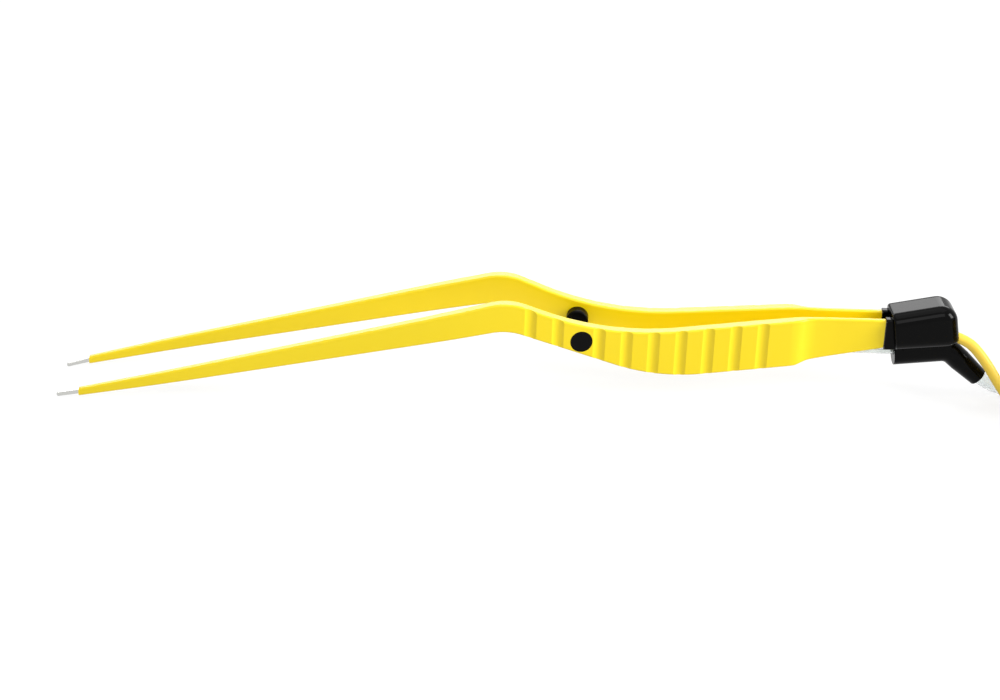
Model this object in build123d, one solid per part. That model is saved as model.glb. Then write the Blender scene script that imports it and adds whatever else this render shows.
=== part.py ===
from build123d import *
import math
import os

# Irrigating bipolar forceps of the bayonet pattern, in millimetres.
# X runs from the tips to the cord end, Y across the two arms, Z up from the table.
# The forceps stand on their lower edges: the tips touch the table at one end, and
# the irrigation tube under the elbow and the hanks of cord and tube touch it behind.
# One arm is modelled on the +Y side and mirrored for the other.

# Places along X, measured forward from the front face of the housing
housing_x = 90.2
collar_length = 1.3
arm_gap = 0.15
neck_front = 20.4
step_length = 3.1
spread_start = 15.8
peg_back = 77.8
outward_bend = 71.0
inward_bend = 109.0
tip_reach = 206.2
bare_tip = 5.6
sleeve_front = tip_reach - bare_tip
blade_taper = tip_reach - 27.4

# Side view of an arm: heights above the table at the corners of its outline
tip_size = 1.0
tip_low = -0.09
front_low, front_high = 0.70, 2.60
bend_back = 95.5
bend_low, bend_high = 20.60, 28.20
bend_radius = 14.0
dip_top_back, dip_top = 70.2, 18.30
dip_low_back, dip_low = 58.0, 7.00
dip_top_radius, dip_low_radius = 74.0, 52.0
grip_low, grip_high = 10.05, 22.30
neck_low = 10.90
entry_low, entry_high = 14.40, 22.00
shoulder_radius = 40.0

# Plan view of an arm: distance of its inner face from the middle plane
slot_half = 2.00
mid_half = 5.35
wide_half = 8.10
taper_half = 8.70
front_half = 8.05
tip_half = 7.68

# Thickness of an arm across Y
neck_thick = 1.50
grip_thick = 3.00
bend_thick = 2.65
taper_thick = 1.90
front_thick = 1.60
core_thick = 0.90
skin = 0.30
edge_skin = 0.40
edge_round = 0.45
tip_round = 0.25

# Finger scallops across the outer face of each arm
scallop_width = 2.90
scallop_depth = 0.50
scallop_pitch = 6.78
scallop_edge = 0.45
scallop_clear = 0.005
scallops_front = 2
scallops_rear = 7
peg_land = 5.15

# Stop peg pressed through each arm
peg_diameter = 5.50
peg_waist = 3.20
peg_stand = 2.80
peg_edge = 0.45
peg_z = 17.40

# Fine irrigation line along the inner face of one arm
line_diameter = 1.30
line_bore = 0.80
line_gap = 0.20
line_front = tip_reach - 17.2
line_entry = 3.0
line_clear = 0.25
line_hop = 5.0
line_low_back = 6.0
line_z = 12.55

# Housing, a hollow cap over the ends of the arms
housing_width = 11.60
housing_wall = 1.30
housing_front_low, housing_front_high = entry_low - 0.45, 23.60
housing_lean = 1.55
housing_top_length, housing_rear_high = 15.7, 26.70
housing_bottom_length, housing_rear_low = 17.8, 15.35
housing_crown, housing_heel = 4.2, 2.2
housing_round = 3.2
housing_edge = 0.7
collar_wall = 0.55
slot_clear = 0.18

# Tails of the metal blades inside the housing
tail_length = 8.6
tab_length = 5.4
tab_height = 2.6
crimp_length = 2.25
crimp_wall = 0.35
barrel_diameter = 1.9
barrel_length = 2.2
lead_diameter = 1.10
lead_gap = 0.30
spacer_length = 2.8
spacer_height = 5.0
spacer_gap = 0.10

# Irrigation manifold under the housing, and its elbow
keel_radius = 2.90
keel_front = 1.9
keel_front_z = 11.45
elbow_back, elbow_z = 15.8, 12.80
elbow_end_back, elbow_end_z = 24.2, 5.35
elbow_radius = 4.6
elbow_end_radius = 2.40
elbow_taper = 0.62
manifold_bore = 2.20
socket_depth = 5.0
plate_thick = 1.2
plate_gap = 0.05

# Power cord and irrigation tube
cord_diameter = 2.70
tube_diameter = 3.90
tube_bore = 2.50
cord_clear = 0.08

# Routes from the forceps to the hanks, as points chosen on each centre line
cord_points = [
    (103.6, -1.3, 18.0),
    (109.6, -2.1, 16.9),
    (113.9, -4.5, 12.8),
    (117.6, -8.0, 7.4),
    (120.9, -10.9, 3.1),
    (126.4, -13.3, cord_diameter / 2),
    (134.0, -13.6, cord_diameter / 2),
]
tube_points = [
    (126.6, 2.8, tube_diameter / 2),
    (134.8, 7.0, tube_diameter / 2),
    (146.5, 8.9, tube_diameter / 2),
    (161.0, 8.2, tube_diameter / 2),
    (176.0, 9.2, tube_diameter / 2),
    (191.0, 8.6, tube_diameter / 2),
    (203.0, 5.3, tube_diameter / 2),
    (212.5, 5.3, tube_diameter / 2),
]

# Hanks of the unseen length, each folded in line with the forceps and tied
hank_corner = 4.5
hank_edge = 3.0
hank_end_share = 0.95
hank_waist_share = 0.72
hank_flare_share = 0.50
hank_waist_length = 12.0
tie_width = 8.0
tie_thick = 0.8
turn_over = 11.0
cord_tail, tube_tail = 9.0, 18.0

# Two-pin plug on the end of the power cord, resting on its hank
plug_length, plug_width, plug_height = 26.0, 36.0, 11.0
plug_neck = 0.62
plug_waist = 2.2
plug_edge = 1.6
boot_length, boot_end = 9.0, 5.2
boot_lap = 1.0
pin_spacing = 28.58
pin_diameter = 4.00
pin_shank = 3.00
pin_reach = 19.0
pin_seat = 8.0
pin_end = 0.6

# Luer connector on the end of the irrigation tube, resting on its hank
luer_length = 22.0
luer_barrel = 6.4
luer_root, luer_root_length = 7.4, 6.0
luer_flange, luer_flange_length = 8.6, 1.6
luer_socket, luer_socket_depth = 4.20, 8.5
luer_rib, luer_rib_length = 0.8, 7.0
luer_taper = 0.06

cord_hank = {"front": cord_points[-1][0], "y": -13.0, "length": 66.0, "width": 30.0, "height": 20.0}
cord_hank["ride"] = cord_hank["height"] + plug_height / 2
cord_hank["lump"] = cord_hank["ride"] + 0.55 * cord_diameter
tube_hank = {"front": tube_points[-1][0], "y": -8.6, "length": 78.0, "width": 43.0, "height": 15.7}
tube_hank["ride"] = tube_hank["height"] + luer_flange / 2
tube_hank["lump"] = tube_hank["ride"] + 0.55 * tube_diameter

sky = 60.0
SEAT = (Align.CENTER, Align.CENTER, Align.MIN)


def place(distance):
    """X of a point that lies this far in front of the housing."""
    return housing_x - distance


def between(x, corners):
    """Height or offset at x on the straight runs between corners."""
    runs = zip(corners, corners[1:])
    for (xa, ya), (xb, yb) in runs:
        if xa <= x <= xb:
            return ya + (yb - ya) * (x - xa) / (xb - xa)
    return corners[0][1] if x < corners[0][0] else corners[-1][1]


# Corner lists that the arm, the peg and the irrigation line share
arm_rear_x = place(collar_length + arm_gap)
tip_x = place(tip_reach)
sleeve_x = place(sleeve_front)
neck_x = place(neck_front)
step_x = neck_x - step_length
peg_x = place(peg_back)

top_corners = [
    (sleeve_x, front_high, 0.0),
    (place(bend_back), bend_high, bend_radius),
    (place(dip_top_back), dip_top, dip_top_radius),
    (step_x, grip_high, shoulder_radius),
    (arm_rear_x, entry_high, 0.0),
]
low_corners = [
    (sleeve_x, front_low, 0.0),
    (place(bend_back), bend_low, bend_radius),
    (place(dip_low_back), dip_low, dip_low_radius),
    (step_x, grip_low, 0.0),
    (neck_x, neck_low, 0.0),
    (arm_rear_x, entry_low, 0.0),
]
inner_corners = [
    (tip_x, tip_half),
    (sleeve_x, front_half),
    (place(blade_taper), taper_half),
    (place(inward_bend), wide_half),
    (place(outward_bend), mid_half),
    (place(spread_start), slot_half),
    (housing_x + tail_length, slot_half),
]
thickness = [
    (sleeve_x, front_thick),
    (place(blade_taper), taper_thick),
    (place(inward_bend), bend_thick),
    (place(bend_back), grip_thick),
    (step_x, grip_thick),
    (neck_x, neck_thick),
    (housing_x, neck_thick),
]


def top_z(x):
    return between(x, [(cx, cz) for cx, cz, _ in top_corners])


def low_z(x):
    return between(x, [(cx, cz) for cx, cz, _ in low_corners])


def inner_y(x):
    return between(x, inner_corners)


def outer_y(x):
    return inner_y(x) + between(x, thickness)


def rounded(corners, plane):
    """Face inside a closed outline of corners, each with its own radius."""
    points = [(a, b) for a, b, _ in corners]
    radii = [r for _, _, r in corners]
    with BuildSketch(plane) as sketch:
        with BuildLine():
            FilletPolyline(*points, radius=radii, close=True)
        make_face()
    return sketch.sketch


def turn_at(points, i):
    """Angle by which a closed run of points turns at point i, in degrees."""
    before, here, after = (Vector(*points[(i + k) % len(points)]) for k in (-1, 0, 1))
    return (here - before).get_angle(after - here)


def softened(points, most=12.0):
    """Add to each corner of a closed outline the largest gentle radius it has room for."""
    points = [p for i, p in enumerate(points) if turn_at(points, i) > 0.05]
    corners = []
    for i, here in enumerate(points):
        before, after = points[i - 1], points[(i + 1) % len(points)]
        run_in, run_out = Vector(*here) - Vector(*before), Vector(*after) - Vector(*here)
        turn = math.radians(turn_at(points, i))
        room = min(0.45 * run_in.length, 0.45 * run_out.length, most)
        square = turn > math.radians(60)
        corners.append((*here, 0.0 if square else room / math.tan(turn / 2)))
    return corners


def along_arm(first, last, height):
    """Places along the arm where its plan changes, from first to last, with a height function."""
    xs = {x for x, _ in inner_corners + thickness if first < x < last}
    return [(x, height(x)) for x in [first, *sorted(xs), last]]


def prism(face, reach):
    """Face swept both ways along its normal."""
    return extrude(face, amount=reach, both=True)


def scallop_places():
    front = [peg_x - peg_land - k * scallop_pitch for k in range(scallops_front)]
    rear = [peg_x + peg_land + k * scallop_pitch for k in range(scallops_rear)]
    return front + rear


def plain_plan():
    """Arm seen from above, before the scallops are cut."""
    inner = [c for c in inner_corners if sleeve_x <= c[0] < arm_rear_x]
    inner.append((arm_rear_x, inner_y(arm_rear_x)))
    outer = along_arm(sleeve_x, arm_rear_x, outer_y)
    return rounded(softened(inner + outer[::-1]), Plane.XY)


def scalloped():
    """Plan that keeps what the scallops leave: it runs past the arm on every side but the outer face."""
    first, last = sleeve_x - skin, arm_rear_x + skin
    outer = [(x, y + scallop_clear) for x, y in along_arm(first, last, outer_y)]
    plan = rounded(softened([(first, 0.0), (last, 0.0)] + outer[::-1]), Plane.XY)
    radius = (scallop_width**2 / 4 + scallop_depth**2) / (2 * scallop_depth)
    for x in scallop_places():
        plan -= Pos(x, outer_y(x) + radius - scallop_depth) * Circle(radius)
    edges = [v for v in plan.vertices() if is_scallop_edge(v)]
    return fillet(edges, scallop_edge)


def is_scallop_edge(vertex):
    beside = min(abs(abs(vertex.X - x) - scallop_width / 2) for x in scallop_places())
    return beside < scallop_width / 8 and vertex.Y > inner_y(vertex.X) + grip_thick / 2


def side_face():
    """Arm seen from the side, along its insulation."""
    return rounded(top_corners + low_corners[::-1], Plane.XZ)


def sideways_edges(solid):
    """Long edges and front edges of an arm, without its upright corners and its rear end."""
    upright = ShapeList(e for e in solid.edges() if abs((e % 0.5).Z) > 0.99)
    rear = ShapeList(e for e in solid.edges() if abs(e.center().X - arm_rear_x) < skin / 10)
    return ShapeList(e for e in solid.edges() if e not in upright and e not in rear)


def sleeve_blank():
    """Insulation of one arm as a solid bar: rounded edges, then the scallops."""
    plan = plain_plan()
    bar = extrude(plan, amount=sky) & prism(side_face(), sky)
    bar = fillet(sideways_edges(bar.solid()), edge_round)
    return (bar & extrude(scalloped(), amount=sky)).solid()


def blade_plan():
    """Metal blade seen from above: one strip of even thickness, from the tip to the tail."""
    strip = [(x, y + (skin if x > tip_x else 0.0)) for x, y in inner_corners]
    back = [(x, y + core_thick) for x, y in strip]
    return rounded(softened(strip + back[::-1]), Plane.XY)


def blade_side():
    """Metal blade seen from the side: bare square tip, drawn-in edges, stepped tail and tab."""
    tail_x = housing_x + tail_length
    tab_x = tail_x - tab_length
    high, low = entry_high - edge_skin, entry_low + edge_skin
    middle = (high + low) / 2
    top = [(tip_x, tip_low + tip_size, tip_size * 0.45)]
    top += [(x, z - edge_skin, r) for x, z, r in top_corners]
    top += [(tab_x, high, 0.0), (tab_x, middle + tab_height / 2, 0.0), (tail_x, middle + tab_height / 2, 0.4)]
    low_side = [(tip_x, tip_low, tip_size * 0.45)]
    low_side += [(x, z + edge_skin, r) for x, z, r in low_corners]
    low_side += [(tab_x, low, 0.0), (tab_x, middle - tab_height / 2, 0.0), (tail_x, middle - tab_height / 2, 0.4)]
    return rounded(top + low_side[::-1], Plane.XZ)


def blade_blank():
    blade = (extrude(blade_plan(), amount=sky) & prism(blade_side(), sky)).solid()
    front = ShapeList(e for e in blade.edges() if e.center().X < tip_x + tip_size)
    return fillet(front, tip_round)


def peg():
    """Stop peg: a waisted stud, flush outside and standing proud inside."""
    run = inner_corners[4][0] - inner_corners[3][0]
    lean = math.degrees(math.atan((inner_corners[4][1] - inner_corners[3][1]) / run))
    inner, outer = inner_y(peg_x), outer_y(peg_x)
    core = inner + skin
    at = Pos(peg_x, 0, peg_z) * Rot(0, 0, lean) * Rot(-90, 0, 0)
    head = Cylinder(peg_diameter / 2, core - inner + peg_stand, align=SEAT)
    head = fillet(head.faces().sort_by(Axis.Z)[0].edges(), peg_edge)
    waist = Cylinder(peg_waist / 2, outer - inner, align=SEAT)
    back = Cylinder(peg_diameter / 2, outer - core - core_thick, align=SEAT)
    stud = head + Pos(0, 0, peg_stand) * waist + Pos(0, 0, peg_stand + skin + core_thick) * back
    return (at * Pos(0, 0, inner - peg_stand) * stud).solid()


def line_route():
    """Centre line of the fine irrigation line, from behind the tip into the manifold."""
    off = line_gap + line_diameter / 2
    xs = [place(line_front)] + [x for x, _ in inner_corners[2:6]]
    points = [(x, inner_y(x) - off, (top_z(x) + low_z(x)) / 2) for x in xs[:3]]
    over_peg = peg_z + peg_diameter / 2 + line_diameter / 2 + line_gap
    points.append((peg_x - line_hop, inner_y(peg_x - line_hop) - off, over_peg + line_hop * 0.12))
    points.append((peg_x + line_hop, inner_y(peg_x + line_hop) - off, over_peg - line_hop * 0.12))
    middle = place((outward_bend + spread_start) / 2)
    points.append((middle, inner_y(middle) - off, (top_z(middle) + low_z(middle)) / 2))
    points.append((place(spread_start), slot_half - off, low_z(place(spread_start)) + line_diameter))
    points.append((place(line_low_back), slot_half - off, line_z))
    points.append((housing_x + line_entry, slot_half - off, line_z))
    return points


def eased_wire(points, least=0.0):
    """Straight runs joined by tangent arcs, each as large as its two runs allow."""
    radii = []
    for i in range(1, len(points) - 1):
        turn = math.radians(turn_at(points, i))
        runs = [(Vector(*points[i + k]) - Vector(*points[i + k - 1])).length for k in (0, 1)]
        radii.append(max(0.45 * min(runs) / math.tan(turn / 2), least))
    return FilletPolyline(*points, radius=radii), radii


def swept(wire, *diameters):
    """Round section swept along a wire; a second diameter is the bore."""
    start = Plane(origin=wire @ 0, z_dir=wire % 0)
    ring = start * Circle(diameters[0] / 2)
    for bore in diameters[1:]:
        ring -= start * Circle(bore / 2)
    return sweep(ring, path=wire)


def housing_outline(wall):
    """Corners of the housing from the side, drawn in by a wall on every side but the open bottom."""
    low = 0.0 if wall == 0 else sky / 10
    front_run = housing_front_high - housing_front_low
    lean = housing_lean / front_run
    slope_top = (housing_rear_high - housing_front_high) / housing_top_length
    return [
        (housing_x + housing_lean + wall + lean * low, housing_front_low - low, 0.0),
        (housing_x + wall + lean * wall, housing_front_high - wall + slope_top * wall, 0.0),
        (housing_x + housing_top_length - wall, housing_rear_high - wall, max(housing_crown - wall, 0.0)),
        (housing_x + housing_bottom_length - wall, housing_rear_low - low, 0.0 if wall else housing_heel),
    ]


def housing_block():
    """Outside of the housing: a tilted block with a crowned rear and large rounded flanks."""
    block = prism(rounded(housing_outline(0.0), Plane.XZ), housing_width / 2).solid()
    flanks = ShapeList(e for e in block.edges() if abs(abs(e.center().Y) - housing_width / 2) < housing_edge / 10)
    crown = ShapeList(e for e in flanks if is_crown_edge(e))
    block = fillet(crown, housing_round)
    rest = ShapeList(e for e in block.edges() if is_housing_rim(e))
    return fillet(rest, housing_edge)


def is_crown_edge(edge):
    """Edges along the top, the crown and the rear of the housing."""
    middle = edge.center()
    on_front = middle.X < housing_x + housing_lean
    on_bottom = middle.Z < housing_rear_low + housing_heel / 2
    return not on_front and not on_bottom


def is_housing_rim(edge):
    """Edges round the front face of the housing."""
    return max(edge.bounding_box().max.X - housing_x - housing_lean, 0.0) < housing_edge


def tail_box(clear, first, last):
    """Room for the tail of one blade from first to last along X, with a clearance all round."""
    high = entry_high - edge_skin + clear
    low = entry_low + edge_skin - clear
    inner = slot_half + skin - clear
    box = Box(last - first, core_thick + 2 * clear, high - low, align=(Align.MIN, Align.MIN, Align.MIN))
    return Pos(first, inner, low) * box


def both_sides(solid):
    return [solid, mirror(solid, about=Plane.XZ)]


def housing():
    """Hollow cap with a collar round each tail and a hole for the cord."""
    cap = housing_block()
    front = place(collar_length)
    collars = both_sides(fillet_ends(tail_box(slot_clear + collar_wall, front, housing_x + housing_wall * 2)))
    cap = cap + collars
    cap = cap - prism(rounded(housing_outline(housing_wall), Plane.XZ), housing_width / 2 - housing_wall)
    cap = cap - both_sides(tail_box(slot_clear, front - skin, housing_x + tail_length))
    out = Vector(*cord_points[1]) - Vector(*cord_points[0])
    hole = Plane(origin=cord_points[0], z_dir=out)
    cap = cap - hole * Cylinder(cord_diameter / 2 + cord_clear, out.length, align=SEAT)
    return cap.solid()


def fillet_ends(box):
    """Round the long edges of a collar."""
    return fillet(box.edges().filter_by(Axis.X), collar_wall)


def tail_middle():
    return (entry_high + entry_low) / 2


def terminal():
    """Crimp on the tab of one tail: a folded sleeve with a barrel for the lead."""
    last = housing_x + tail_length
    first = last - crimp_length
    middle_y = slot_half + skin + core_thick / 2
    size_y, size_z = core_thick + 2 * crimp_wall, tab_height + 2 * crimp_wall
    sleeve = Box(crimp_length, size_y, size_z, align=(Align.MIN, Align.CENTER, Align.CENTER))
    sleeve -= Box(crimp_length, core_thick, tab_height, align=(Align.MIN, Align.CENTER, Align.CENTER))
    barrel = Rot(0, 90, 0) * Cylinder(barrel_diameter / 2, barrel_length, align=SEAT)
    back = Rot(0, 90, 0) * Cylinder(lead_diameter / 2, barrel_length - crimp_wall, align=SEAT)
    crimp = sleeve + Pos(crimp_length, 0, 0) * barrel
    crimp -= Pos(crimp_length + crimp_wall, 0, 0) * back
    return (Pos(first, middle_y, tail_middle()) * crimp).solid()


def barrel_end():
    return housing_x + tail_length + barrel_length


def lead(side):
    """Insulated wire from one crimp to the end of the cord's jacket."""
    start = (barrel_end() + lead_gap, side * (slot_half + skin + core_thick / 2), tail_middle())
    out = (Vector(*cord_points[1]) - Vector(*cord_points[0])).normalized()
    across = Vector(0, 0, 1).cross(out).normalized()
    goal = Vector(*cord_points[0]) + across * (side * cord_diameter / 4)
    points = [start, (start[0] + lead_diameter / 2, *start[1:])]
    points += [tuple(goal - out * lead_diameter), tuple(goal)]
    return swept(eased_wire(points)[0], lead_diameter)


def spacer():
    """Insulating block that keeps the two tails apart inside the housing."""
    width = 2 * (slot_half + skin - spacer_gap)
    block = Box(spacer_length, width, spacer_height, align=(Align.MIN, Align.CENTER, Align.CENTER))
    return Pos(housing_x + housing_lean + housing_wall, 0, tail_middle()) * block


def housing_base_z(x):
    """Height of the housing's open underside."""
    start = housing_x + housing_lean
    rise = (housing_rear_low - housing_front_low) / (housing_bottom_length - housing_lean)
    return housing_front_low + (x - start) * rise


def base_plate():
    """Plate of the manifold that closes the underside of the housing from within."""
    inset = housing_wall + plate_gap
    first = housing_x + tail_length - tab_length + lead_gap
    last = housing_x + housing_bottom_length - inset - housing_heel / 2
    low, high = ([(x, housing_base_z(x) + up) for x in (first, last)] for up in (0.0, plate_thick))
    face = rounded([(*c, 0.0) for c in low + high[::-1]], Plane.XZ)
    return prism(face, housing_width / 2 - inset)


def manifold_route():
    start = (housing_x + keel_front, 0.0, keel_front_z)
    elbow = (housing_x + elbow_back, 0.0, elbow_z)
    end = (housing_x + elbow_end_back, 0.0, elbow_end_z)
    return start, elbow, end


def manifold():
    """Keel tube under the housing, its elbow, the closing plate and the water way."""
    start, elbow, end = (Vector(*p) for p in manifold_route())
    down = (end - elbow).normalized()
    taper = (end - elbow).length * elbow_taper
    wire = FilletPolyline(start, elbow, end - down * taper, radius=elbow_radius)
    body = swept(wire, 2 * keel_radius)
    cone = Cone(keel_radius, elbow_end_radius, taper, align=SEAT)
    body += Plane(origin=end - down * taper, z_dir=down) * cone
    web = [(p.X, p.Z, 0.0) for p in (start, elbow)]
    web += [(p.X, housing_base_z(p.X) + housing_wall, 0.0) for p in (elbow, start)]
    body += prism(rounded(web, Plane.XZ), keel_radius)
    body -= prism(rounded(housing_outline(0.0), Plane.XZ), housing_width)
    body = body.solid() + base_plate()
    return (body - water_way(start, elbow, end, down)).solid()


def water_way(start, elbow, end, down):
    """Bore of the manifold, the seat of the tube and the seat of the fine line."""
    along = (elbow - start).normalized()
    wire = FilletPolyline(start + along * line_entry * 1.1, elbow, end, radius=elbow_radius)
    bore = swept(wire, manifold_bore)
    socket = Plane(origin=end - down * socket_depth, z_dir=down)
    bore += socket * Cylinder(tube_diameter / 2, 2 * socket_depth, align=SEAT)
    seat = Pos(housing_x, line_y(), line_z) * Rot(0, 90, 0)
    bore += seat * Cylinder(line_diameter / 2 + line_clear, line_entry + line_clear, align=SEAT)
    bore += seat * Cylinder(line_diameter / 2, line_entry + 3 * line_diameter, align=SEAT)
    return bore


def line_y():
    """The fine line lies along the arm on the -Y side."""
    return -(slot_half - line_gap - line_diameter / 2)


def fine_line():
    wire, radii = eased_wire([(x, -y, z) for x, y, z in line_route()])
    print("irrigation line radii", [round(r, 1) for r in radii])
    return swept(wire, line_diameter, line_bore)


def free_cord(name, points, *diameters):
    wire, radii = eased_wire(points)
    tube = swept(wire, *diameters)
    print(name, "radii", [round(r, 1) for r in radii], "length", round(wire.length, 1))
    area = math.pi / 4 * (diameters[0] ** 2 - sum(d**2 for d in diameters[1:]))
    print(name, "volume", round(tube.volume, 1), "section times length", round(area * wire.length, 1))
    return tube


def tail_run(size, reach, *diameters):
    """Last stretch of a cord or tube, from the turn over the end of its hank to its fitting."""
    start = Vector(size["front"] + turn_over, size["y"], size["ride"])
    sways = [(0.0, 1 / 6), (0.3, 1 / 6), (0.65, 0.0), (1.0, 0.0)]
    points = [tuple(start + Vector(reach * a, diameters[0] * b, 0)) for a, b in sways]
    return free_cord("short end", points, *diameters)


def power_cord():
    lead_in = free_cord("power cord", cord_points, cord_diameter)
    return Compound([lead_in, tail_run(cord_hank, cord_tail, cord_diameter)])


def tube_landing():
    """Where the axis of the elbow meets the height of a tube lying on the table."""
    end, down = elbow_axis()
    return end + down * ((tube_diameter / 2 - end.Z) / down.Z)


def elbow_axis():
    _, elbow, end = (Vector(*p) for p in manifold_route())
    return end, (end - elbow).normalized()


def irrigation_tube():
    end, down = elbow_axis()
    seat = end - down * (socket_depth - plate_gap)
    points = [tuple(seat), tuple(tube_landing()), *tube_points]
    lead_in = free_cord("irrigation tube", points, tube_diameter, tube_bore)
    return Compound([lead_in, tail_run(tube_hank, tube_tail, tube_diameter, tube_bore)])


def hank_face(size):
    """Outline of a hank from above: two looped ends drawn in to a tied waist."""
    half, wide = size["length"] / 2, size["width"] / 2
    waist = (hank_waist_length / 2, wide * hank_waist_share)
    quarter = [waist, (half * hank_flare_share, wide), (half, wide * hank_end_share)]
    side = [(-x, y) for x, y in quarter[::-1]] + quarter
    outline = side + [(x, -y) for x, y in side[::-1]]
    return rounded([(x, y, hank_corner) for x, y in outline], Plane.XY)


def hank(size):
    """A hank as one body: the folded turns, with the last turn laid over its front end."""
    face = hank_face(size)
    turns = rim_rounded(extrude(face, amount=size["height"]), hank_edge)
    over = face & Pos(turn_over - size["length"], 0) * Rectangle(size["length"], size["width"])
    lump = rim_rounded(extrude(over, amount=size["lump"]), hank_edge)
    return hank_place(size) * (turns + lump)


def rim_rounded(body, radius):
    levels = body.faces().sort_by(Axis.Z)
    return fillet(levels[0].edges() + levels[-1].edges(), radius)


def hank_place(size):
    return Pos(size["front"] + size["length"] / 2, size["y"], 0)


def strap(size, inset):
    """Solid bar across the waist of a hank, drawn in by an inset."""
    wide, high = size["width"] * hank_waist_share - 2 * inset, size["height"] - 2 * inset
    bar = Box(tie_width, wide, high, align=SEAT)
    return hank_place(size) * Pos(0, 0, inset) * fillet(bar.edges().filter_by(Axis.X), hank_edge - inset)


def tied_hank(size):
    """A hank let in at its waist for the strap that ties it."""
    room = hank_place(size) * Box(tie_width, sky, sky)
    return (hank(size) - room) + strap(size, tie_thick)


def tie(size):
    return strap(size, 0) - strap(size, tie_thick)


def plug_x():
    return cord_hank["front"] + turn_over + cord_tail


def plug_place():
    return Pos(plug_x(), cord_hank["y"], cord_hank["height"])


def plug():
    """Flat two-pin plug: waisted body with a boot for the cord."""
    half, front = plug_width / 2, boot_length - boot_lap
    outline = [
        (front, -half * plug_neck, hank_corner),
        (front + plug_length / 3, -half + plug_waist, hank_corner),
        (front + plug_length, -half, plug_edge),
    ]
    outline += [(x, -y, r) for x, y, r in outline[::-1]]
    body = rim_rounded(extrude(rounded(outline, Plane.XY), amount=plug_height), plug_edge)
    boot = Cone(boot_end / 2, plug_height / 2 - boot_lap, boot_length, align=SEAT)
    body += Pos(0, 0, plug_height / 2) * Rot(0, 90, 0) * boot
    for side in (1, -1):
        body -= pin_place(side) * Cylinder(pin_shank / 2, pin_seat, align=SEAT)
    return plug_place() * body.solid()


def pin_place(side):
    """Seat of one pin inside the plug, pointing away from the cord."""
    x = boot_length - boot_lap + plug_length - pin_seat
    return Pos(x, side * pin_spacing / 2, plug_height / 2) * Rot(0, 90, 0)


def plug_pin(side):
    pin = Pos(0, 0, pin_seat) * Cylinder(pin_diameter / 2, pin_reach, align=SEAT)
    pin = fillet(pin.faces().sort_by(Axis.Z)[-1].edges(), pin_end)
    pin += Cylinder(pin_shank / 2, pin_seat, align=SEAT)
    return plug_place() * pin_place(side) * pin


def luer():
    """Luer connector: ribbed root round the tube, barrel, lugged rim and tapered socket."""
    body = Cylinder(luer_root / 2, luer_root_length, align=SEAT)
    body += Cylinder(luer_barrel / 2, luer_length, align=SEAT)
    rim = Box(luer_flange, luer_barrel, luer_flange_length, align=SEAT) & Cylinder(luer_flange / 2, sky)
    body += Pos(0, 0, luer_length - luer_flange_length) * rim
    for turn in (0, 90, 180, 270):
        rib = Box(luer_rib, luer_flange, luer_rib_length, align=SEAT) & Cylinder(luer_flange / 2, sky)
        body += Pos(0, 0, luer_root_length) * Rot(0, 0, turn) * rib
    mouth = luer_length - luer_socket_depth
    narrow = luer_socket / 2 - luer_socket_depth * luer_taper / 2
    body -= Pos(0, 0, mouth) * Cone(narrow, luer_socket / 2, luer_socket_depth, align=SEAT)
    body -= Cylinder(tube_bore / 2, luer_length, align=SEAT)
    place_x = tube_hank["front"] + turn_over + tube_tail
    return Pos(place_x, tube_hank["y"], tube_hank["ride"]) * Rot(0, 90, 0) * Rot(0, 0, 90) * body.solid()


def write(name, shape):
    export_step(shape, f"parts/{name}.step")
    print(name, round(shape.volume, 1), "mm3")


os.makedirs("parts", exist_ok=True)
blank, stud, metal, cap, crimp = sleeve_blank(), peg(), blade_blank(), housing(), terminal()
arm = {"insulation": blank - metal - stud, "blade": metal - stud, "stop_peg": stud, "crimp": crimp}
for kind, solid in arm.items():
    for side, piece in zip(("right", "left"), both_sides(solid)):
        write(f"{side}_{kind}", piece)
write("right_lead", lead(1))
write("left_lead", lead(-1))
write("blade_spacer", spacer())
write("housing", cap)
write("irrigation_manifold", manifold())
write("irrigation_capillary", fine_line())
write("power_cord", power_cord())
write("power_cord_hank", tied_hank(cord_hank))
write("power_cord_tie", tie(cord_hank))
write("plug_body", plug())
write("plug_pin_right", plug_pin(1))
write("plug_pin_left", plug_pin(-1))
write("irrigation_tube", irrigation_tube())
write("irrigation_tube_hank", tied_hank(tube_hank))
write("irrigation_tube_tie", tie(tube_hank))
write("luer_connector", luer())
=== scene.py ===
# %% [markdown]
# Irrigating bipolar forceps.
# The arms, the pegs, the housing and the fittings come ready made in the frame.
# This notebook adds the camera, the flexible lines, the small moulded details and the
# finishes.

# %% Load the frame
import bpy
import math
import random
from mathutils import Matrix, Vector


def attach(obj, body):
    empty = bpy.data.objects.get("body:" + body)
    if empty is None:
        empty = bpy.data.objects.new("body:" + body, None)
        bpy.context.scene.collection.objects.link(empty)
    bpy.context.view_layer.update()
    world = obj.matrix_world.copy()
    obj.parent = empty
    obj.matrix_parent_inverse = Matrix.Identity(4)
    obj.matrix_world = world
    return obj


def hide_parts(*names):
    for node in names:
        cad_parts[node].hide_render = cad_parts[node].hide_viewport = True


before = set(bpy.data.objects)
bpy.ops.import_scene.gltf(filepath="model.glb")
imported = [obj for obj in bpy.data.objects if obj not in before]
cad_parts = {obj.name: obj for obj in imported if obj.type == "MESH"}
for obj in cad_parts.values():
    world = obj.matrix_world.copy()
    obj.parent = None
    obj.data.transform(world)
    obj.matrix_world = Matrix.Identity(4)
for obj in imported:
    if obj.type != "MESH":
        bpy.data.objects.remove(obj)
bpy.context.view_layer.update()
print("nodes in the frame:", len(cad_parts))

# %% [markdown]
# The photograph was taken from above the near side with a long lens.
# The camera looks at a point between the arms. Its place comes from a bearing, a height
# angle and a distance, and a small roll tilts the picture as the photograph is tilted.

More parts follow.
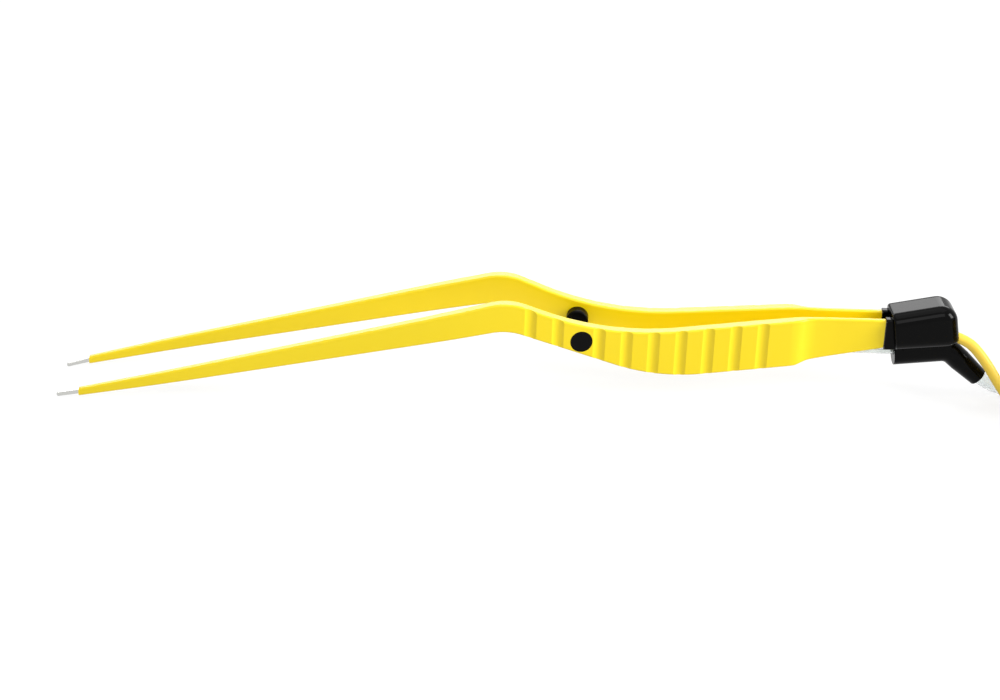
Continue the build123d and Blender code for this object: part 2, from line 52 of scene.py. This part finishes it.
# %% Camera
MM = 0.001
look_at = Vector((-6.55, 0.0, 10.5)) * MM
bearing, height_angle, roll = (math.radians(a) for a in (-2.06, 26.0, 1.85))
distance = 537.5 * MM
focal_pixels, photo_width, sensor_width = 2150.0, 1000.0, 36.0

back = Vector((math.sin(bearing), -math.cos(bearing), 0)) * math.cos(height_angle)
back.z = math.sin(height_angle)
right = Vector((math.cos(bearing), math.sin(bearing), 0))
up = back.cross(right)
across = right * math.cos(roll) + up * math.sin(roll)
upward = up * math.cos(roll) - right * math.sin(roll)

camera_data = bpy.data.cameras.new("camera")
camera_data.sensor_width = sensor_width
camera_data.lens = focal_pixels / photo_width * sensor_width
camera_data.clip_start, camera_data.clip_end = 0.01, 20.0
camera = bpy.data.objects.new("camera", camera_data)
bpy.context.collection.objects.link(camera)
turn = Matrix((across, upward, back)).transposed().to_4x4()
camera.matrix_world = Matrix.Translation(look_at + back * distance) @ turn
bpy.context.scene.camera = camera
print("camera at", [round(v, 4) for v in camera.matrix_world.translation])

# %% [markdown]
# The cord and the two tubes are free to bend, so each is one smooth curve through a few
# chosen points. A NURBS curve of order 3 runs smoothly inside its corners, as a soft
# line does. Near the forceps the points follow the photograph. The length that it does
# not show is folded into a hank, in line with the forceps, and tied.

# %% One smooth line through chosen points
def smooth_line(name, points):
    """A curve of one open NURBS spline, still without width; the points are in metres."""
    data = bpy.data.curves.new(name, "CURVE")
    data.dimensions = "3D"
    spline = data.splines.new("NURBS")
    spline.points.add(len(points) - 1)
    for place, point in zip(spline.points, points):
        place.co = (*point, 1.0)
    spline.order_u = 3
    spline.use_endpoint_u = True
    data.resolution_u = 5
    data.bevel_resolution = 4
    line = bpy.data.objects.new(name, data)
    bpy.context.collection.objects.link(line)
    return line


# %% [markdown]
# A hank is wound as by hand round two fingers: three turns lie side by side, from the
# inside out and back, and the next layer lies on them. Each turn has two round folds
# and is drawn in at its waist, where the strap holds it, so the step from one turn to
# the next is hidden there. The front folds ride over the line as it comes in. A little
# unevenness, the same on every run, keeps the hank from looking machine made.

# %% Where a turn passes under the strap
def waist(hank, one, other):
    """Offset and height under the strap, halfway between two turns that follow each other."""
    layer, place = ((a + b) / 2 for a, b in zip(one, other))
    d = hank["diameter"]
    offset = hank["fold"] - hank["draw"] + place * d
    return offset, hank["strap"] + d * (layer * hank["squeeze"] + 0.5)


# %% [markdown]
# A fold is half of an octagon of points, inside which the curve rounds itself. Between
# the fold and the waist lies one more point, where the turn starts to draw in.

# %% Turns of a hank
octagon_share = math.tan(math.pi / 8)
strap_half, flare_least = 4.5, 11.0
rim_share = 0.55
radius_play, height_play, length_play = (-0.05, 0.05), (-0.02, 0.04), (-0.12, 0.12)
last_turn_cut = 6


def hank_turns(hank, seed):
    """Points of all the turns, as offsets in millimetres from the middle of the hank."""
    chance = random.Random(seed)
    d, lift = hank["diameter"], hank["lift"]
    fold_x = hank["length"] / 2 - d * rim_share - hank["fold"] - 2 * d
    turns = []
    for layer in range(hank["layers"]):
        order = (0, 1, 2) if layer % 2 == hank["first"] else (2, 1, 0)
        turns += [(layer, place) for place in order]
    points = []
    for i, (layer, place) in enumerate(turns):
        r = hank["fold"] + place * d + chance.uniform(*radius_play) * d
        z = d * (layer + 0.5) + chance.uniform(*height_play) * d
        x = fold_x + chance.uniform(*length_play) * d
        k = octagon_share * r
        flare = max(x - k, flare_least)
        start = waist(hank, turns[max(i - 1, 0)], turns[i])
        middle = waist(hank, turns[i], turns[i])
        end = waist(hank, turns[i], turns[min(i + 1, len(turns) - 1)])
        points += [(strap_half, *start), (flare, r, z)]
        points += [(x + k, r, z), (x + r, k, z), (x + r, -k, z), (x + k, -r, z), (flare, -r, z)]
        points += [(a, -middle[0], middle[1]) for a in (strap_half, -strap_half)]
        points.append((-flare, -r, z))
        fold = [(-x - k, -r), (-x - r, -k), (-x - r, k), (-x - k, r), (-flare, r)]
        points += [(a, b, z + d * rise) for (a, b), rise in zip(fold, lift)]
        points.append((-strap_half, *end))
    return points[:-last_turn_cut]


def placed(hank, offsets):
    """Offsets in millimetres from the middle of a hank, as places in metres."""
    x, y = hank["front"] + hank["length"] / 2, hank["y"]
    return [((x + a) * MM, (y + b) * MM, c * MM) for a, b, c in offsets]


# %% [markdown]
# The power cord holds two wires in one round jacket. It leaves the rear of the housing,
# drops over the elbow to the table and runs into its hank. About 3.0 m is usual for an
# attached bipolar cord, and a two-pin plug lies on the hank.

# %% Power cord
cord_diameter = 2.70 * MM
cord_route = [
    (0.1036, -0.0013, 0.0180),
    (0.1096, -0.0021, 0.0169),
    (0.1139, -0.0045, 0.0128),
    (0.1176, -0.0080, 0.0074),
    (0.1209, -0.0109, 0.0031),
    (0.1264, -0.0133, 0.00135),
    (0.1340, -0.0136, 0.00135),
]
cord_hank = {
    "front": 134.0, "length": 66.0, "y": -13.0, "diameter": 2.70, "layers": 7, "first": 0,
    "fold": 9.2, "draw": 5.95, "strap": 0.8, "squeeze": 0.96, "lift": (0.3, 1.0, 1.0, 0.3, 0.0),
}
cord_in = [(-24, -0.4, 1.35), (-14, 0.4, 1.35), (-5, 2.0, 1.9)]
cord_over = [
    (-19.8, -16.6, 18.8), (-26.6, -15.6, 20.8), (-31.4, -10.6, 22.4), (-31.8, -3.6, 24.0),
    (-27.8, 1.4, 25.2), (-21.4, 2.5, 25.5), (-16.8, 0.7, 25.5), (-13.0, 0.0, 25.5),
]
cord_turns = hank_turns(cord_hank, 3)
cord_points = cord_route + placed(cord_hank, cord_in + cord_turns + cord_over)
cord_line = smooth_line("cord_line", cord_points)
print("power cord points:", len(cord_points))

# %% [markdown]
# The irrigation tube is clear and hollow, so light passes through two walls of it.
# It is pushed into the elbow, bends flat on the table and lies beside the first hank
# on its way to its own. It ends in a luer connector.

# %% Irrigation tube, its centre line
tube_diameter, tube_wall = 3.90 * MM, 0.70 * MM
tube_route = [
    (0.11073, 0.0, 0.00860),
    (0.11821, 0.0, 0.00195),
    (0.1266, 0.0028, 0.00195),
    (0.1348, 0.0070, 0.00195),
    (0.1465, 0.0089, 0.00195),
    (0.1610, 0.0082, 0.00195),
    (0.1760, 0.0092, 0.00195),
    (0.1910, 0.0086, 0.00195),
    (0.2030, 0.0053, 0.00195),
    (0.2125, 0.0053, 0.00195),
]
tube_hank = {
    "front": 212.5, "length": 78.0, "y": -8.6, "diameter": 3.90, "layers": 4, "first": 1,
    "fold": 12.95, "draw": 8.02, "strap": 0.8, "squeeze": 0.87, "lift": (0.1, 0.5, 1.0, 1.0, 0.6),
}
tube_in = [(-30.0, 12.9, 1.95), (-21.0, 8.5, 1.95), (-11.0, 5.4, 1.95)]
tube_over = [
    (-19.8, -22.0, 14.4), (-28.6, -20.4, 16.4), (-35.2, -13.8, 18.8), (-36.2, -4.4, 21.0),
    (-31.3, 2.0, 21.6), (-23.0, 3.7, 21.0), (-17.0, 1.0, 20.3), (-13.0, 0.0, 20.0),
    (-10.0, 0.0, 20.0),
]
tube_turns = hank_turns(tube_hank, 5)
tube_points = tube_route + placed(tube_hank, tube_in + tube_turns + tube_over)
tube_line = smooth_line("tube_line", tube_points)
print("irrigation tube points:", len(tube_points))

# %% [markdown]
# An operator acts on everything that is selected, so two helpers select one object
# alone and apply one modifier to it.

# %% Select one object, apply one modifier
def deselect_all():
    bpy.ops.object.select_all(action="DESELECT")


def take(piece):
    """Make one object the only selected and active one."""
    deselect_all()
    piece.select_set(True)
    bpy.context.view_layer.objects.active = piece
    return piece


def apply(piece, kind, **settings):
    """Add a modifier with its settings and apply it."""
    step = take(piece).modifiers.new(kind.lower(), kind)
    for key, value in settings.items():
        setattr(step, key, value)
    bpy.ops.object.modifier_apply(modifier=step.name)


# %% [markdown]
# Each centre line is given its full width and turned into a mesh. A clear tube is then
# thickened inwards, so that its bore stays open from end to end, which is what gives
# clear tubing its two bright edges. Its cut ends stay crisp.

# %% From a centre line to a round body
crisp_angle = math.radians(50)


def line_points(line):
    """Points along a smooth line, read from its own curve."""
    mesh = bpy.data.meshes.new_from_object(line)
    points = [tuple(v.co) for v in mesh.vertices]
    bpy.data.meshes.remove(mesh)
    return points


def round_body(line, name, diameter, closed):
    """A mesh of this diameter round a smooth line, with closed or open ends."""
    line.data.bevel_depth = diameter / 2
    line.data.use_fill_caps = closed
    take(line)
    bpy.ops.object.convert(target="MESH")
    body = bpy.context.object
    body.name = body.data.name = name
    bpy.ops.object.shade_smooth()
    return body


def hollow_out(body, wall):
    """Give a round body a wall of even thickness inwards, with crisp ends."""
    apply(body, "SOLIDIFY", thickness=wall, offset=-1.0, use_even_offset=False)
    bpy.ops.object.shade_smooth_by_angle(angle=crisp_angle)


# %% [markdown]
# The jacket of the cord is solid to the eye, and the tube gets its wall. Both stay with
# the housing when the arms move, and each stands for a lead-in and a hank of the frame.

# %% Cord and tube as bodies
cord_path, tube_path = line_points(cord_line), line_points(tube_line)
power_cord = round_body(cord_line, "cord_jacket", cord_diameter, True)
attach(power_cord, "connector")
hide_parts("power_cord", "power_cord_hank")
irrigation_tube = round_body(tube_line, "tube_clear_wall", tube_diameter, False)
hollow_out(irrigation_tube, tube_wall)
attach(irrigation_tube, "connector")
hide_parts("irrigation_tube", "irrigation_tube_hank")
print("faces:", len(power_cord.data.polygons), len(irrigation_tube.data.polygons))

# %% [markdown]


# %% [markdown]
# The fine irrigation line lies along the inner face of the near arm, passes under the
# stop peg and leaves below the arm's rear end for the manifold. It moves with that arm.

# %% Irrigation capillary
capillary_diameter, capillary_wall = 1.30 * MM, 0.25 * MM
capillary_route = [
    (-0.0988, -0.00755, 0.00416),
    (-0.0886, -0.00785, 0.00637),
    (-0.0360, -0.00740, 0.01775),
    (-0.0080, -0.00647, 0.02240),
    (0.0074, -0.00535, 0.01540),
    (0.0174, -0.00463, 0.01175),
    (0.0468, -0.00283, 0.01300),
    (0.0744, -0.00115, 0.01305),
    (0.0842, -0.00115, 0.01255),
    (0.0932, -0.00115, 0.01255),
]
capillary_line = smooth_line("capillary_line", capillary_route)
capillary = round_body(capillary_line, "capillary_clear_wall", capillary_diameter, False)
hollow_out(capillary, capillary_wall)
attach(capillary, "left_arm")
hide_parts("irrigation_capillary")
print("capillary faces:", len(capillary.data.polygons))

# %% [markdown]
# Each strap is closed by laying its end over itself on the near side. The end is a cube
# made thin in edit mode. Its two lower corners are bevelled wide, which cuts it round,
# and a fine bevel takes the sharpness off its edges.

# %% Strap ends
corner_share, edge_share = 0.42, 0.2


def strap_end(name, place, width, length, thick):
    """A flat end with round corners; place is the middle of its upper edge."""
    deselect_all()
    bpy.ops.mesh.primitive_cube_add(size=1.0, location=(0, 0, 0))
    end = bpy.context.object
    end.name = end.data.name = name
    bpy.ops.object.mode_set(mode="EDIT")
    bpy.ops.mesh.select_all(action="SELECT")
    bpy.ops.transform.resize(value=(width, thick, length))
    bpy.ops.transform.translate(value=(place[0], place[1] - thick / 2, place[2] - length / 2))
    bpy.ops.object.mode_set(mode="OBJECT")
    for edge in end.data.edges:
        a, b = (end.data.vertices[i].co for i in edge.vertices)
        edge.select = abs(a.y - b.y) > thick / 2 and max(a.z, b.z) < place[2] - length / 2
    bpy.ops.object.mode_set(mode="EDIT")
    bpy.ops.mesh.select_mode(type="EDGE")
    bpy.ops.mesh.bevel(offset=width * corner_share, segments=8, affect="EDGES")
    bpy.ops.object.mode_set(mode="OBJECT")
    apply(end, "BEVEL", width=thick * edge_share, segments=2)
    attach(end, "connector")
    return end


strap_width, strap_thick = 8 * MM, 0.9 * MM
strap_ends = [
    strap_end("cord_strap_end", (0.1670, -0.0238, 0.0165), strap_width, 12 * MM, strap_thick),
    strap_end("tube_strap_end", (0.2515, -0.02408, 0.0125), strap_width, 10 * MM, strap_thick),
]
print("strap ends:", len(strap_ends))

# %% [markdown]
# The boot of the plug has raised rings, so that it bends evenly with the cord. Each is
# a small circle spun round the axis of the boot, and each is a little wider than the
# one before it, as the boot is.

# %% Boot rings
boot_axis = (-0.0130, 0.0255)
boot_start, boot_radius, boot_growth = 154.0 * MM, 2.6 * MM, 0.21
ring_half, ring_steps, section_steps = 0.45 * MM, 40, 10
ring_places = (1.2 * MM, 3.2 * MM, 5.2 * MM)


def boot_ring(x, radius):
    """One raised ring round the axis of the boot."""
    deselect_all()
    y, z = boot_axis
    bpy.ops.mesh.primitive_circle_add(vertices=section_steps, radius=ring_half, location=(0, 0, 0))
    ring = bpy.context.object
    bpy.ops.object.mode_set(mode="EDIT")
    bpy.ops.mesh.select_all(action="SELECT")
    bpy.ops.transform.translate(value=(x, y + radius, z))
    bpy.ops.mesh.spin(steps=ring_steps, angle=2 * math.pi, center=(x, y, z), axis=(1, 0, 0))
    bpy.ops.mesh.select_all(action="SELECT")
    bpy.ops.mesh.remove_doubles(threshold=0.01 * MM)
    bpy.ops.mesh.normals_make_consistent(inside=False)
    bpy.ops.object.mode_set(mode="OBJECT")
    bpy.ops.object.shade_smooth()
    return ring


rings = [boot_ring(boot_start + step, boot_radius + step * boot_growth) for step in ring_places]
take(rings[0])
for ring in rings:
    ring.select_set(True)
bpy.ops.object.join()
boot_rings = bpy.context.object
boot_rings.name = boot_rings.data.name = "boot_rings"
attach(boot_rings, "connector")
print("boot rings:", len(rings), "faces:", len(boot_rings.data.polygons))

# %% [markdown]
# Colours are written as sRGB hex values, as in a paint program, and turned to linear
# values here. One small function adds a node and its links.

# %% Colours and nodes
def linear(code):
    """An sRGB hex colour as linear values."""
    parts = [int(code[i:i + 2], 16) / 255 for i in (1, 3, 5)]
    return [c / 12.92 if c <= 0.04045 else ((c + 0.055) / 1.055) ** 2.4 for c in parts] + [1.0]


def add_node(tree, kind, settings=None, inputs=None, links=None):
    """Add one node with its settings, its input values and its incoming links."""
    made = tree.nodes.new(kind)
    for key, value in (settings or {}).items():
        setattr(made, key, value)
    for key, value in (inputs or {}).items():
        made.inputs[key].default_value = value
    for key, source in (links or {}).items():
        tree.links.new(source, made.inputs[key])
    return made


def empty_tree(owner):
    """The node tree of a material or a world, with nothing in it."""
    owner.use_nodes = True
    owner.node_tree.nodes.clear()
    return owner.node_tree


# %% [markdown]
# The photograph has a white ground. A white table and room would also throw much light
# on the object, so both are white only where they are seen: by the camera, in gloss and
# through clear plastic. To all other light they are dimmer. The kind of ray tells which.

# %% White only where it is seen
def seen_directly(tree):
    """One for rays from the camera, from gloss and through clear pieces, else nothing."""
    ray = add_node(tree, "ShaderNodeLightPath")
    seen = ray.outputs["Is Camera Ray"]
    for kind in ("Is Glossy Ray", "Is Transmission Ray"):
        links = {0: seen, 1: ray.outputs[kind]}
        seen = add_node(tree, "ShaderNodeMath", {"operation": "MAXIMUM"}, links=links).outputs[0]
    return seen


def mixed(tree, share, one, other):
    """One shader where the share is nothing, the other where it is one."""
    links = {0: share, 1: one.outputs[0], 2: other.outputs[0]}
    return add_node(tree, "ShaderNodeMixShader", links=links).outputs[0]


white_light = (1, 1, 1, 1)

# %% [markdown]
# The object stands on a plain pale table, a hair under its lower edges. Part of its
# white is a faint glow and the rest is lit, so the table keeps a soft shadow.

# %% Table
table_width, table_drop = 6.0, 0.2 * MM
deselect_all()
bpy.ops.mesh.primitive_plane_add(size=table_width, location=(0, 0, -table_drop))
table = bpy.context.object
table.name = "table"

table_finish = bpy.data.materials.new("pale_table")
tree = empty_tree(table_finish)
lit = add_node(tree, "ShaderNodeBsdfDiffuse", inputs={"Color": linear("#C4C4C4")})
pale = add_node(tree, "ShaderNodeBsdfDiffuse", inputs={"Color": linear("#888888")})
glow = add_node(tree, "ShaderNodeEmission", inputs={"Color": white_light, "Strength": 0.78})
white = add_node(tree, "ShaderNodeAddShader", links={0: pale.outputs[0], 1: glow.outputs[0]})
surface = mixed(tree, seen_directly(tree), lit, white)
add_node(tree, "ShaderNodeOutputMaterial", links={"Surface": surface})
table.data.materials.append(table_finish)
print("table:", table_width, "m wide")

# %% [markdown]
# The room is white in the same way: white to the camera, and a dim even light for the
# object, which fills the sides that the lamps leave dark.

# %% Room
room = bpy.data.worlds.new("room")
bpy.context.scene.world = room
tree = empty_tree(room)
dim = add_node(tree, "ShaderNodeBackground", inputs={"Color": linear("#F2F4F6"), "Strength": 0.42})
bright = add_node(tree, "ShaderNodeBackground", inputs={"Color": white_light, "Strength": 1.0})
surface = mixed(tree, seen_directly(tree), dim, bright)
add_node(tree, "ShaderNodeOutputWorld", links={"Surface": surface})
bpy.context.scene.view_settings.view_transform = "Standard"
print("room nodes:", len(tree.nodes))

# %% [markdown]
# The photograph was lit by wide soft boxes. A low one behind draws the pale bands along
# the top edges. One far to the right grazes the sides, so that every scallop has a pale
# wall and a dark one. Two more fill from the front and from overhead.

# %% Lamps
def soft_box(name, place, aim, size, power):
    """A rectangular lamp at a place, turned to a point; its size is in metres."""
    data = bpy.data.lights.new(name, "AREA")
    data.shape, data.size, data.size_y, data.energy = "RECTANGLE", size[0], size[1], power
    lamp = bpy.data.objects.new(name, data)
    bpy.context.collection.objects.link(lamp)
    way = Vector(place) - Vector(aim)
    facing = way.to_track_quat("Z", "Y").to_matrix().to_4x4()
    lamp.matrix_world = Matrix.Translation(place) @ facing


middle = (0.02, 0.0, 0.015)
soft_box("behind", (0.05, 1.05, 0.60), middle, (1.7, 0.34), 9.0)
soft_box("right", (0.98, -0.32, 0.52), middle, (0.4, 0.5), 12.2)
soft_box("front", (0.05, -0.95, 0.95), middle, (1.0, 0.6), 5.0)
soft_box("overhead", (0.10, 0.10, 1.05), middle, (0.9, 0.7), 2.0)

# %% [markdown]
# Every finish is one surface shader. Where the real surface isn't quite even, a noise
# pattern whose grain is a real size raises it a little, and the relief is so low that
# it only stirs the highlights.

# %% A finish and how it is put on
noise_detail = 2.0


def finish(name, colour, roughness, relief=None, **sockets):
    """A material; relief is its grain and its height in millimetres, and its strength."""
    made = bpy.data.materials.new(name)
    tree = empty_tree(made)
    values = {"Base Color": linear(colour), "Roughness": roughness}
    values.update({key.replace("_", " "): value for key, value in sockets.items()})
    shader = add_node(tree, "ShaderNodeBsdfPrincipled", inputs=values)
    add_node(tree, "ShaderNodeOutputMaterial", links={"Surface": shader.outputs[0]})
    if relief:
        raise_surface(tree, shader, *relief)
    return made


def raise_surface(tree, shader, grain_mm, height_mm, strength):
    """Raise the surface a little by a noise whose grain is a real size."""
    place = add_node(tree, "ShaderNodeTexCoord")
    noise = add_node(
        tree, "ShaderNodeTexNoise", inputs={"Scale": 1 / (grain_mm * MM), "Detail": noise_detail},
        links={"Vector": place.outputs["Object"]},
    )
    bump = add_node(
        tree, "ShaderNodeBump", inputs={"Strength": strength, "Distance": height_mm * MM},
        links={"Height": noise.outputs["Fac"]},
    )
    tree.links.new(bump.outputs[0], shader.inputs["Normal"])


def dress(made, *pieces):
    """Put a finish on pieces of the frame, given by name, and on pieces made here."""
    for piece in pieces:
        if isinstance(piece, str):
            for slot in bpy.data.objects[piece].material_slots:
                slot.material = made
        else:
            piece.data.materials.clear()
            piece.data.materials.append(made)
    print(made.name, "on", len(pieces), "pieces")


def both(kind):
    return f"left_{kind}", f"right_{kind}"


# %% [markdown]
# The arms are steel, coated with baked nylon powder. The coat melts into a smooth,
# slightly wavy yellow skin with a medium gloss. The powder's waves are about 1.6 mm
# apart.

# %% Coated arms
nylon = finish(
    "nylon_coating_yellow", "#FADC0C", 0.32, (1.6, 0.02, 0.10), IOR=1.53, Specular_IOR_Level=0.4,
)
dress(nylon, *both("insulation"))

# %% [markdown]
# The tips are the bare ends of the blades: stainless steel, finely ground, so that they
# show the pale room softly. Real grinding marks are under 0.05 mm and wouldn't show, so
# their grain is drawn 0.25 mm coarse.

# %% Bare steel
steel = finish("stainless_steel_satin", "#C6C6C2", 0.20, (0.25, 0.01, 0.15), Metallic=1.0)
dress(steel, *both("blade"))

# %% [markdown]
# The housing and the manifold are moulded ABS from a polished mould: deep black, with
# narrow sharp highlights. Their gloss is kept low, because a white room would else turn
# them grey. The pegs are turned from a black PEEK rod, which leaves them more matte.

# %% Black plastics of the forceps
abs_black = finish(
    "abs_polished_black", "#030303", 0.10, (3.0, 0.02, 0.05), IOR=1.53, Specular_IOR_Level=0.07,
)
peek_black = finish("peek_peg_black", "#050505", 0.34, IOR=1.50, Specular_IOR_Level=0.08)
dress(abs_black, "housing", "irrigation_manifold")
dress(peek_black, *both("stop_peg"))

# %% [markdown]
# Inside the housing are crimps of tinned copper, which look dull and pale, the leads in
# their red vinyl sheaths and a moulded spacer of undyed nylon, which is an off-white.
# None of them shows while the housing is on.

# %% Inside the housing
tin = finish("copper_tinned", "#BBB8B0", 0.32, Metallic=1.0)
sheath = finish("wire_sheath_red", "#8C1C14", 0.42, IOR=1.50)
spacer_white = finish("nylon_natural", "#D3D2C6", 0.5, IOR=1.53)
dress(tin, *both("crimp"))
dress(sheath, *both("lead"))
dress(spacer_white, "blade_spacer")

# %% [markdown]
# The cord's jacket is extruded silicone, a little warmer than the arms and softly
# glossy. Both tubes are clear PVC: nearly all light passes, and faint waves in the
# extruded wall break up what is seen through it.

# %% Cord and tubes
silicone = finish("silicone_jacket_yellow", "#F8D348", 0.34, (2.4, 0.03, 0.08), IOR=1.41)
pvc = finish(
    "pvc_tubing_clear", "#F4F8F8", 0.08, (3.5, 0.08, 0.20), IOR=1.53, Transmission_Weight=0.92,
)
fine_pvc = finish("pvc_capillary_clear", "#F2F6F4", 0.08, IOR=1.50, Transmission_Weight=0.92)
dress(silicone, "power_cord", "power_cord_hank", power_cord)
dress(pvc, "irrigation_tube", "irrigation_tube_hank", irrigation_tube)
dress(fine_pvc, "irrigation_capillary", capillary)

# %% [markdown]
# The straps are woven nylon, with threads about 0.8 mm apart, and the plug is soft PVC
# from an etched mould. Both are black and matte, with a broad weak gloss. The grain of
# such a mould is nearer 0.1 mm and is drawn 0.5 mm coarse, so that it shows. The pins
# are nickel plated brass with a sharp shine, and the luer connector is milky
# polycarbonate, which lets a little light through.

# %% Straps and fittings
strap = finish(
    "nylon_strap_black", "#080808", 0.45, (0.8, 0.03, 0.2), IOR=1.53, Specular_IOR_Level=0.25,
)
plug_black = finish(
    "pvc_moulded_black", "#08080A", 0.46, (0.5, 0.02, 0.25), IOR=1.53, Specular_IOR_Level=0.25,
)
plated = finish("nickel_plated_brass", "#C3BFB4", 0.18, Metallic=1.0)
milky = finish("polycarbonate_milky", "#E3E8E8", 0.22, IOR=1.58, Transmission_Weight=0.25)
dress(strap, "power_cord_tie", "irrigation_tube_tie", *strap_ends)
dress(plug_black, "plug_body", boot_rings)
dress(plated, "plug_pin_left", "plug_pin_right")
dress(milky, "luer_connector")
